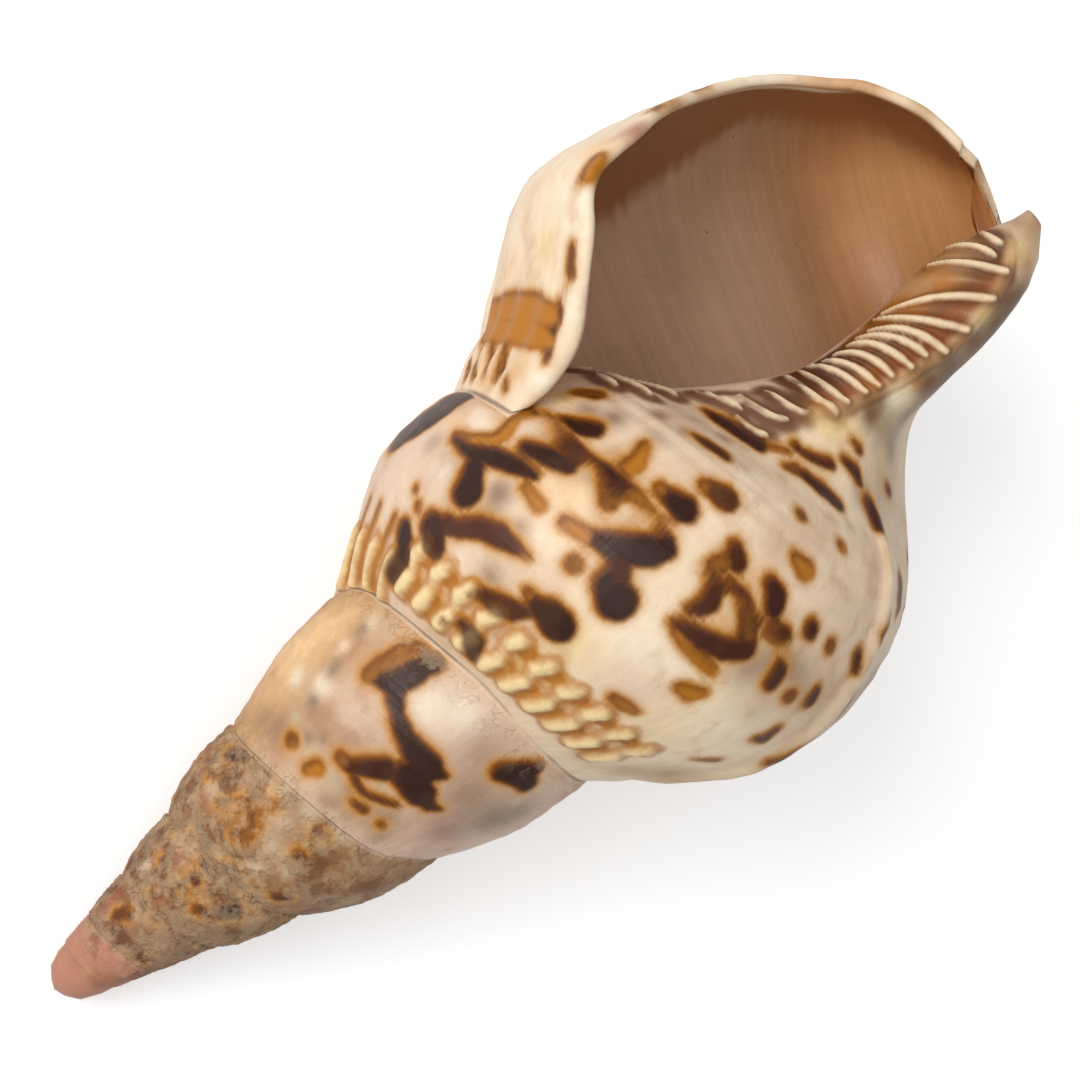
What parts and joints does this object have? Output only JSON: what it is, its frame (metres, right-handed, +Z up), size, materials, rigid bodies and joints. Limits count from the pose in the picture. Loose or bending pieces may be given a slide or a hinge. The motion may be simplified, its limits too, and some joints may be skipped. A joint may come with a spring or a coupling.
{
  "type": "triton shell",
  "caption": "Long spiral sea snail shell with a tall worn spire, a swollen body whorl and a wide flared open mouth, lying mouth up.",
  "frame": {"origin": "centre of the shell's bounding box, on the surface it lies on", "axes": "+Z up; +X along the shell's axis, seen from above, from the canal towards the worn tip; +Y to the left of that, so the mouth opens upward and towards -Y"},
  "size_m": [0.2694, 0.1402, 0.1109],
  "materials": {
    "shell": "glossy cream shell with chocolate and golden spots, worn and chalky towards the tip"
  },
  "bodies": {
    "root": {"shell": "shell"}
  },
  "joints": []
}
